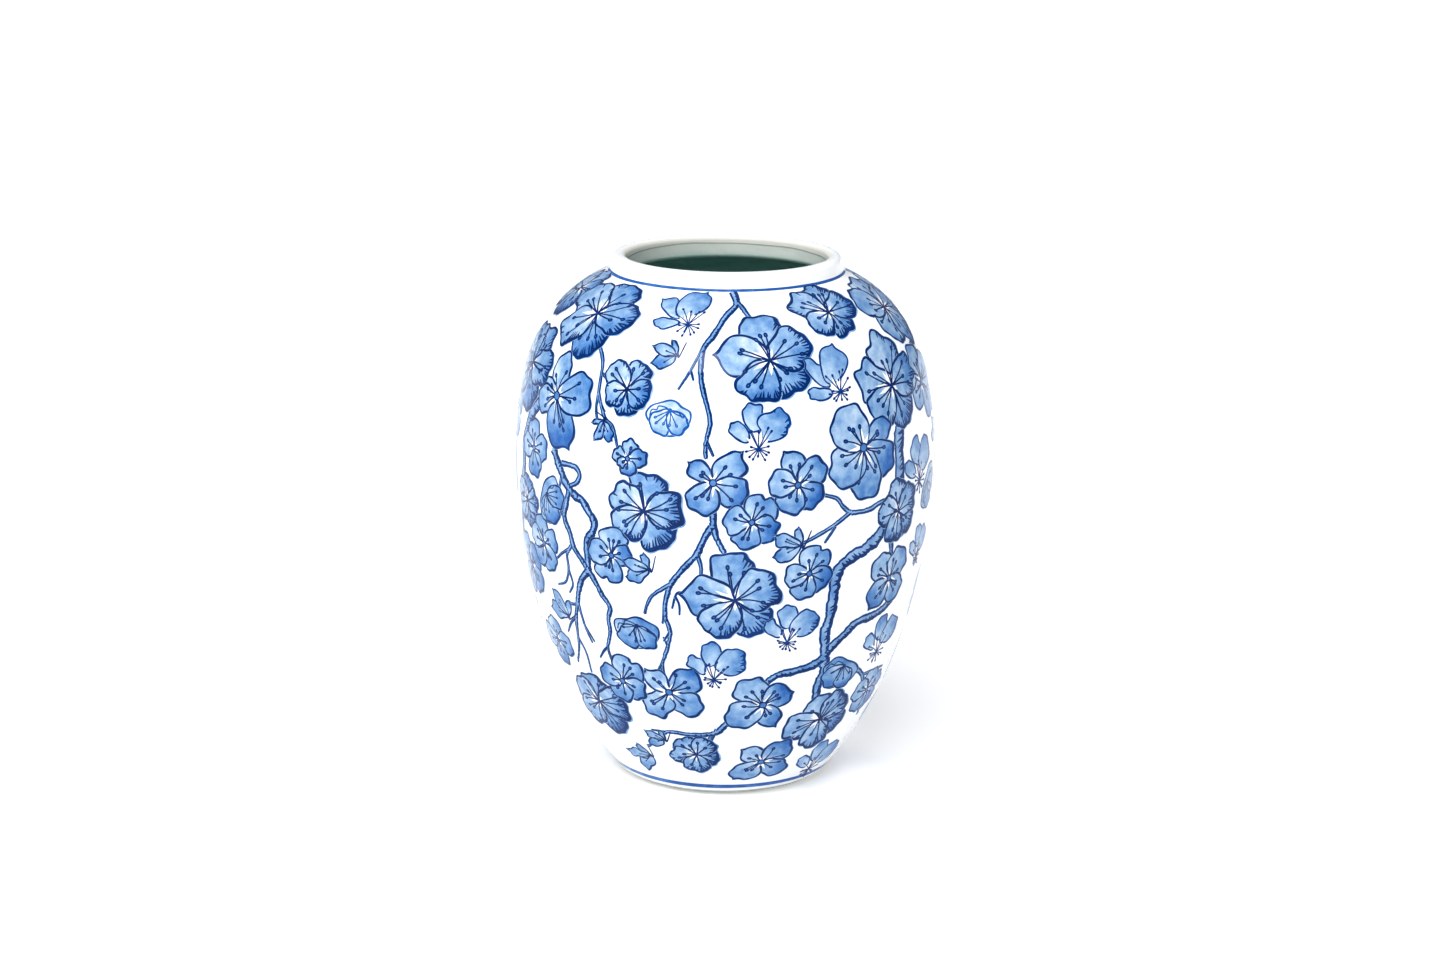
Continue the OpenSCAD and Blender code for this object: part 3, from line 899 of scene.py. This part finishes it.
FLOWERS = [
    *of_kind("ruffled", [
        (-80, 235, [(80, 17, 15), (150, 17, 15), (220, 17, 15), (-65, 18, 16), (8, 17, 15)]),
        (73, 229, [(75, 22, 20), (150, 22, 19), (225, 21, 18), (-60, 22, 18), (10, 22, 19)]),
        (-73, 203, [(60, 20, 18), (0, 23, 17), (-70, 23, 20), (-145, 21, 18), (135, 22, 20)]),
        (-51, 230, [(72, 22, 21), (0, 24, 17), (-68, 24, 19), (-140, 24, 18), (150, 25, 21)]),
        (13, 217, [(98, 24, 19), (28, 21, 20), (-42, 20, 18), (-120, 21, 17), (168, 23, 20, NIB)]),
        (40, 233, [(78, 19, 16), (15, 19, 15), (-70, 14, 15), (-145, 16, 13), (145, 19, 17)]),
        (53, 200, [(82, 25, 22), (12, 24, 18), (-62, 22, 17), (225, 22, 18), (162, 23, 18)]),
        (-21, 150, [(82, 18, 18), (8, 19, 16), (-58, 19, 18), (218, 18, 16), (156, 18, 16)]),
        (3, 110, [(97, 24, 19), (25, 21, 20), (-50, 21, 18), (-122, 21, 17), (172, 23, 20, NIB)]),
        (36, 42, [(105, 16, 16), (45, 18, 16), (-20, 17, 16), (-85, 19, 15), (190, 19, 17)]),
        (-47, 47, [(88, 16, 17), (8, 19, 17), (-62, 19, 17), (222, 19, 16), (158, 17, 16)]),
        (53, 142, [(100, 16, 14), (30, 16, 14), (-40, 15, 14), (-110, 15, 13), (170, 15, 14)]),
        (-67, 140, [(80, 13, 12), (5, 13, 12), (-70, 13, 12), (215, 13, 12), (145, 13, 12)]),
        (-28, 203, [(62, 14, 13), (-12, 12, 13), (-85, 12, 12), (205, 12, 11), (135, 15, 12)]),
        (-10, 26, [(130, 13, 12), (60, 13, 11), (-15, 11, 11), (-95, 13, 12), (190, 13, 11)]),
    ]),
    *of_kind("open", [
        (-53, 194, [(92, 20, 13), (165, 13, 10), (198, 17, 12), (-68, 25, 19, NIB), (12, 24, 18)]),
        (39, 176, [(28, 20, 12), (-30, 22, 16), (-85, 24, 18), (218, 22, 18), (125, 22, 20)]),
        (-3, 165, [(140, 14, 9, NIB), (42, 18, 13, NIB), (-25, 17, 13), (240, 16, 14)]),
        (7, 147, [(55, 14, 15, NOTCH), (-28, 13, 12), (-108, 13, 12), (172, 13, 12)]),
        (19, 163, [(100, 16, 12, NIB), (35, 16, 13), (-40, 14, 13), (-115, 14, 13), (170, 14, 12)]),
        (-31, 127, [(80, 14, 14), (8, 11, 10), (-105, 14, 14, NOTCH), (175, 13, 12)]),
        (23, 121, [(70, 14, 15, NOTCH), (-25, 12, 12), (-110, 13, 12), (182, 12, 11)]),
        (52, 110, [(135, 17, 14), (50, 16, 16), (-48, 15, 14), (-140, 17, 14, NIB)]),
        (-17, 61, [(38, 19, 14, NIB), (-38, 18, 13), (232, 18, 14), (132, 15, 11, NIB)]),
        (-33, 63, [(60, 16, 16, NOTCH), (-25, 13, 12), (-105, 12, 12), (165, 13, 12)]),
        (13, 55, [(125, 18, 16), (38, 15, 14, NIB), (-62, 15, 11, NIB), (212, 19, 15)]),
        (16, 21, [(130, 14, 11, NIB), (42, 18, 13), (-35, 16, 12), (225, 16, 14, NIB)]),
        (-26, 173, [(75, 9, 8), (8, 10, 8), (-82, 8, 8), (165, 8, 7), (215, 6, 5)]),
        (-58, 123, [(95, 14, 12), (20, 13, 11), (-60, 14, 12), (230, 14, 12), (160, 13, 11)]),
        (-62, 167, [(100, 14, 11), (10, 13, 12), (-80, 14, 12), (180, 13, 11)]),
        (-62, 73, [(85, 13, 12), (0, 14, 12), (-85, 13, 12), (175, 14, 12)]),
        (58, 50, [(100, 13, 12), (25, 13, 11), (-50, 13, 12), (-120, 13, 12), (165, 13, 12)]),
    ]),
    *of_kind("side", [
        (-17, 235, 26, 0, "tall"), (30, 209, 26, 0, "tall"), (9, 188, 26, 0), (-2, 77, 26, -4),
        (19, 95, 25, -5), (64, 161, 28, 6), (55, 79, 26, 0), (46, 16, 26, -4), (68, 120, 22, 0),
    ]),
    *of_kind("bud", [
        (-18, 218, 14, 190), (-34, 184, 12, 270), (-23, 122, 15, 190), (17, 135, 16, 180),
        (-25, 33, 12, 180), (-35, 19, 16, 210), (-54, 93, 17, 150),
    ]),
    *of_kind("droop", [
        (39, 67, 21, -20), (-53, 146, 22, 60), (-25, 91, 21, 0), (-15, 193, 19, 0, "pale"),
    ]),
    ("open", 72, 196, [(100, 19, 14), (185, 13, 11), (215, 16, 12), (-52, 21, 17, NIB), (25, 18, 16)]),
    ("droop", 72, 147, 21, 50),
    ("open", -70, 107, [(115, 17, 15), (40, 15, 14), (-40, 15, 14), (-125, 17, 14, NIB)]),
    ("open", 97, 178, [(90, 15, 14), (18, 15, 13), (-54, 15, 13), (-126, 15, 13), (162, 15, 13)]),
    ("ruffled", 92, 150, [(95, 18, 17), (22, 18, 16), (-50, 18, 17), (-122, 18, 16), (166, 18, 16)]),
    ("open", 82, 92, [(45, 15, 14), (-45, 15, 13, NIB), (-135, 15, 14), (135, 15, 13)]),
    ("ruffled", 88, 58, [(80, 16, 15), (8, 16, 15), (-64, 16, 15), (-136, 16, 15), (152, 16, 15)]),
    ("side", 94, 118, 24, 0),
    ("side", 103, 206, 25, 0),
    ("bud", 100, 84, 15, 60),
    ("bud", 80, 170, 12, 150),
    ("droop", 77, 34, 19, 10),
    ("open", 90, 22, [(60, 12, 11), (-30, 12, 10), (-120, 12, 11), (150, 12, 10)]),
]

# Boughs as strokes of (azimuth, height) points, with the width at the start and at the end.
BOUGHS = [
    [([(3, 242), (4, 238), (0, 234), (-4, 227), (-7, 221), (-7, 211), (-6, 204), (-4, 192), (-5, 183),
       (-5, 176)], 3.0, 1.4), ([(4, 239), (6, 237), (9, 232)], 2.2, 1.4),
     ([(-7, 222), (-10, 213), (-13, 205)], 1.1, 0.5), ([(-10, 213), (-9, 209)], 0.7, 0.4),
     ([(-5, 184), (-3, 177)], 1.0, 0.8)],
    [([(-41, 218), (-38, 212), (-37, 201), (-37, 193), (-36, 187)], 1.6, 0.9),
     ([(-37, 208), (-33, 204)], 1.1, 0.7), ([(-37, 200), (-34, 190), (-31, 186), (-29, 177)], 1.5, 1.0),
     ([(-36, 196), (-34, 192)], 0.9, 0.5)],
    [([(-52, 171), (-50, 166), (-48, 161), (-46, 156), (-43, 152), (-40, 150), (-38, 146), (-36, 141),
       (-37, 136), (-39, 131), (-39, 122), (-39, 117)], 4.4, 3.2),
     ([(-48, 165), (-43, 165), (-41, 162), (-42, 158), (-45, 155)], 2.4, 2.0),
     ([(-45, 153), (-46, 147), (-47, 140), (-45, 133), (-44, 127), (-41, 121), (-39, 117)], 3.0, 2.6),
     ([(-48, 158), (-49, 152)], 1.4, 0.8), ([(-47, 146), (-49, 139)], 1.4, 0.7),
     ([(-39, 117), (-37, 112), (-35, 106), (-33, 101), (-34, 95), (-34, 89), (-35, 84), (-36, 79),
       (-35, 70)], 3.0, 0.9), ([(-36, 80), (-38, 77), (-40, 73)], 1.0, 0.5),
     ([(-39, 117), (-42, 112), (-44, 105), (-45, 100), (-47, 91), (-48, 82), (-49, 75), (-52, 66)], 3.4,
       0.7), ([(-48, 80), (-46, 73), (-46, 63)], 1.0, 0.7), ([(-47, 91), (-50, 87), (-53, 81)], 1.2, 0.6),
     ([(-45, 98), (-49, 97), (-53, 95)], 1.3, 0.9),
     ([(-45, 100), (-44, 90), (-43, 84), (-42, 80)], 1.4, 0.6), ([(-44, 89), (-41, 81)], 0.8, 0.5),
     ([(-45, 127), (-47, 122), (-47, 115), (-49, 108), (-53, 105)], 1.6, 0.5),
     ([(-46, 125), (-49, 122), (-52, 118)], 1.3, 0.6), ([(-47, 115), (-46, 108), (-48, 103)], 1.1, 0.5)],
    [([(-3, 152), (-3, 146), (-5, 140), (-7, 132), (-9, 128), (-12, 122), (-14, 117), (-15, 113), (-16, 106),
       (-16, 100), (-15, 93), (-16, 85), (-18, 76), (-18, 69)], 3.0, 1.2),
     ([(-3, 147), (-2, 140), (0, 133)], 2.8, 2.0),
     ([(-14, 117), (-19, 111), (-21, 106), (-22, 101)], 1.6, 0.9),
     ([(-7, 132), (-6, 126), (-6, 120)], 1.6, 1.2), ([(-16, 106), (-17, 97)], 1.1, 0.5),
     ([(-10, 113), (-12, 113), (-13, 111), (-14, 105)], 0.8, 0.5),
     ([(-13, 111), (-12, 107), (-12, 102)], 0.7, 0.4), ([(-16, 86), (-17, 90)], 0.8, 0.4),
     ([(-17, 80), (-20, 71)], 1.0, 0.7), ([(-15, 93), (-17, 88)], 0.8, 0.4)],
    [([(58, 190), (54, 180), (53, 170), (53, 156), (50, 144), (45, 133), (41, 129), (36, 126), (32, 121),
       (31, 110), (31, 100), (30, 90), (31, 80), (32, 70), (31, 62), (32, 50)], 7.4, 4.2),
     ([(50, 134), (51, 126), (52, 116)], 3.6, 2.4),
     ([(56, 98), (52, 95), (47, 93), (41, 92), (37, 87), (33, 82), (31, 77)], 3.6, 4.8),
     ([(31, 77), (28, 74), (22, 72), (17, 71), (14, 68), (12, 63)], 5.0, 2.6)],
    [([(50, 149), (45, 149), (41, 147), (36, 147), (34, 148), (32, 151), (30, 155), (25, 158)], 2.4, 1.3),
     ([(35, 148), (30, 143), (25, 139), (21, 136)], 1.9, 1.3), ([(30, 142), (27, 135)], 1.2, 0.7)],
    [([(8, 52), (2, 46), (-2, 40), (-8, 38), (-13, 38), (-20, 38), (-24, 33), (-30, 27)], 3.2, 1.2),
     ([(-4, 39), (-5, 33)], 1.4, 1.0), ([(-2, 42), (-4, 35)], 1.3, 0.9), ([(-19, 38), (-26, 38)], 1.1, 0.6)],
    [([(-61, 189), (-66, 180), (-69, 168), (-69, 156), (-71, 142), (-74, 126), (-76, 112)], 6.4, 3.2)],
    [([(43, 68), (47, 65), (51, 60), (55, 50), (60, 36)], 2.6, 1.4),
     ([(51, 61), (58, 61), (64, 60)], 1.5, 0.8)],
    [([(74, 214), (79, 196), (84, 178), (88, 160), (84, 140), (80, 122), (84, 104)], 4.0, 2.0),
     ([(85, 142), (92, 130), (96, 112), (100, 92)], 2.2, 1.0),
     ([(82, 110), (90, 84), (88, 66), (82, 44)], 2.0, 1.0)],
]

# Outline widths of the small and of the large flowers of each kind.
STROKES = {"ruffled": (0.88, STROKE), "open": (0.86, 1.00), "side": (0.78, 0.78),
           "droop": (0.80, 0.80), "bud": (0.80, 0.80)}
LARGE, FULL = 31, 40       # the reach from which a flower is large, and a ruffled one full blown
BOUGH_LIFT = 0.03
FLOWER_LIFT = 0.055
LIFT_STEP = 0.014          # more than two overlapping pieces' facets differ by
BACK_SPIN = 14             # turn of each flower on the second side


def reach_of(flower):
    """Roughly how wide a flower is."""
    kind, _, _, *how = flower
    return 2 * max(length for _, length, *_ in how[0]) if kind in ("ruffled", "open") else how[0]


def draw_flower(flower, seed, spin):
    kind, _, _, *how = flower
    reach = reach_of(flower)
    pale = 0.10 if kind == "side" else 0.50 if "pale" in how else 0.0
    d = Drawing(seed, STROKES[kind][reach >= LARGE], pale)
    if kind in ("ruffled", "open"):
        petals = [(angle + spin, *rest) for angle, *rest in how[0]]
        if kind == "ruffled":
            d.ruffled(petals, 0.12 if reach >= FULL else 0.45)
        else:
            d.open(petals, heart=0.55 + 0.03 * reach)
    elif kind == "side":
        d.side(how[0], how[1] + spin, "tall" in how)
    elif kind == "droop":
        d.droop(how[0], how[1] + spin)
    else:
        d.bud(how[0], how[1] + spin)
    return d


def paint_boughs(side, turn):
    for number, strokes in enumerate(BOUGHS):
        azimuth, height = strokes[0][0][len(strokes[0][0]) // 2]
        middle = along(height)
        d = Drawing(900 + 50 * side + number)
        flat = []
        for points, start_w, end_w in strokes:
            rows = []
            for a, h in points:
                r = float(np.interp(along(h), ALONG, PROFILE[:, 0]))
                rows.append((math.radians(a - azimuth) * r, along(h) - middle))
            flat.append((rows, start_w, end_w))
        d.boughs(flat)
        paint(f"bough_{side + 1}_{number + 1}", d, azimuth + turn, height, BOUGH_LIFT)


def paint_flowers(side, turn):
    placed = []
    for number, flower in enumerate(FLOWERS):
        kind, azimuth, height = flower[:3]
        size = reach_of(flower)
        d = draw_flower(flower, 100 * (side + 1) + number, BACK_SPIN * side)
        at = np.array(on_vase(np.array([math.radians(azimuth)]), np.array([along(height)]), 0)[0][0]) / MM
        level = 1 + max([l for p, s, l in placed if np.linalg.norm(p - at) < (s + size) * 0.6], default=0)
        placed.append((at, size, level))
        lift = FLOWER_LIFT + LIFT_STEP * level
        paint(f"{kind}_flower_{side + 1}_{number + 1}", d, azimuth + turn, height, lift)


# ------------ stage, light and camera, in metres

CAMERA_AT = Vector((0.0, -1.251, 0.474))
CAMERA_DOWN, CAMERA_ROLL, CAMERA_YAW = 14.98, 0.52, 0.05
LENS = 67.6
FLOOR_R, FLOOR_SIDES = 8, 64
WORLD_STRENGTH = 0.42
VIEW_GAMMA = 0.87


def add_camera():
    data = bpy.data.cameras.new("camera")
    data.lens = LENS
    data.sensor_width = 36
    camera = add_object("camera", data)
    camera.matrix_world = (Matrix.Translation(CAMERA_AT) @ Matrix.Rotation(math.radians(CAMERA_YAW), 4, "Z")
                           @ Matrix.Rotation(math.radians(90 - CAMERA_DOWN), 4, "X")
                           @ Matrix.Rotation(math.radians(CAMERA_ROLL), 4, "Z"))
    bpy.context.scene.camera = camera


def add_softbox(name, azimuth, elevation, distance, width, height, power):
    """A rectangular light, in metres and watts, that faces the middle of the vase."""
    data = bpy.data.lights.new(name, "AREA")
    data.shape = "RECTANGLE"
    data.size, data.size_y = width, height
    data.energy = power
    light = add_object(name, data)
    a, e = math.radians(azimuth), math.radians(elevation)
    target = Vector((0, 0, VASE_H * MM * 0.6))
    back = Vector((math.sin(a) * math.cos(e), -math.cos(a) * math.cos(e), math.sin(e)))
    light.location = target + back * distance
    light.rotation_mode = "QUATERNION"
    light.rotation_quaternion = back.to_track_quat("Z", "Y")


def add_stage():
    mesh = bpy.data.meshes.new("floor")
    ring = [(FLOOR_R * math.cos(a), FLOOR_R * math.sin(a), cad_low.z)
            for a in np.linspace(0, 2 * math.pi, FLOOR_SIDES, endpoint=False)]
    mesh.from_pydata(ring, [], [range(FLOOR_SIDES)])
    mesh.materials.append(floor_material())
    add_object("floor", mesh)
    world = bpy.data.worlds.new("studio")
    world.use_nodes = True
    background = world.node_tree.nodes["Background"]
    fill(background, Color=(0.97, 0.98, 1.0, 1), Strength=WORLD_STRENGTH)
    bpy.context.scene.world = world
    bpy.context.scene.view_settings.view_transform = "Standard"
    bpy.context.scene.view_settings.gamma = VIEW_GAMMA


add_camera()
add_stage()
add_softbox("key", -14, 51, 1.6, 1.05, 0.46, 17)
add_softbox("left_fill", -58, 42, 2.2, 1.8, 1.5, 10)
add_softbox("overhead", 0, 88, 1.8, 2.4, 2.4, 12)

build_outer_glaze()
build_inner_glaze()
painted_line("neck_line_paint", "neck_line", CREASE_AT - NECK_LINE_W / 2, CREASE_AT + NECK_LINE_W / 2, 11)
painted_line("foot_line_paint", "foot_line", along(FOOT_LINE[0]), along(FOOT_LINE[1]), 12)
for side, turn in enumerate((0, 180)):
    paint_boughs(side, turn)
    paint_flowers(side, turn)
